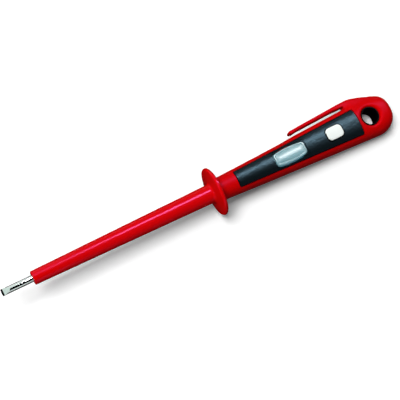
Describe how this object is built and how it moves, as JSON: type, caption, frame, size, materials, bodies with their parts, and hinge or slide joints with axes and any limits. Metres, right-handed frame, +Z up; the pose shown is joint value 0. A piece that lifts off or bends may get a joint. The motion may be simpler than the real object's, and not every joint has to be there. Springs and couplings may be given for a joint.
{
  "type": "voltage tester screwdriver",
  "caption": "Flat-blade tester screwdriver with an insulating sleeve, a round finger guard, a handle with a lamp window and touch button, a pocket clip and an eye.",
  "frame": {"origin": "on the table under the middle of the tool, which lies on its back", "axes": "+X from the blade to the eye, +Y to the pocket clip, +Z up, out of the window"},
  "size_m": [0.1888, 0.0224, 0.022],
  "materials": {
    "nickel": "nickel plated, satin bright",
    "red_sleeve": "glossy moulded",
    "red_handle": "glossy moulded",
    "red_clip": "glossy moulded",
    "black_inlay": "satin moulded",
    "black_liner": "matt moulded",
    "white_button": "satin moulded",
    "white_carrier": "matt moulded",
    "clear_lens": "clear polished",
    "lamp_glass": "clear blown glass",
    "brass": "bright stamped",
    "spring_steel": "drawn wire",
    "resistor_paint": "painted ceramic"
  },
  "bodies": {
    "root": {"blade": "nickel", "insulating_sleeve": "red_sleeve", "handle_body": "red_handle", "handle_inlay": "black_inlay", "window_lens": "clear_lens", "eye_liner": "black_liner", "button_spring": "spring_steel", "contact_spring": "spring_steel", "contact_strip": "brass", "resistor_body": "resistor_paint", "resistor_cap_front": "nickel", "resistor_cap_rear": "nickel", "lamp_glass": "lamp_glass", "lamp_cap_front": "brass", "lamp_cap_rear": "brass", "lamp_electrode_front": "nickel", "lamp_electrode_rear": "nickel", "component_carrier": "white_carrier"},
    "touch_button": {"touch_button": "white_button"},
    "pocket_clip": {"pocket_clip": "red_clip"}
  },
  "joints": [
    {"name": "button_press", "type": "slide", "parent": "root", "child": "touch_button", "axis": [-0.0608, 0, -0.9981], "range_m": [0, 0.0008], "stiffness_N_per_m": 1500, "springref_m": -0.0004, "deforming": ["button_spring"]},
    {"name": "clip_flex", "type": "hinge", "parent": "root", "child": "pocket_clip", "pos_m": [0.07496, 0.01024, 0.00676], "axis": [-0.0608, 0, -0.9981], "range_deg": [0, 5], "stiffness_Nm_per_rad": 0.5}
  ]
}
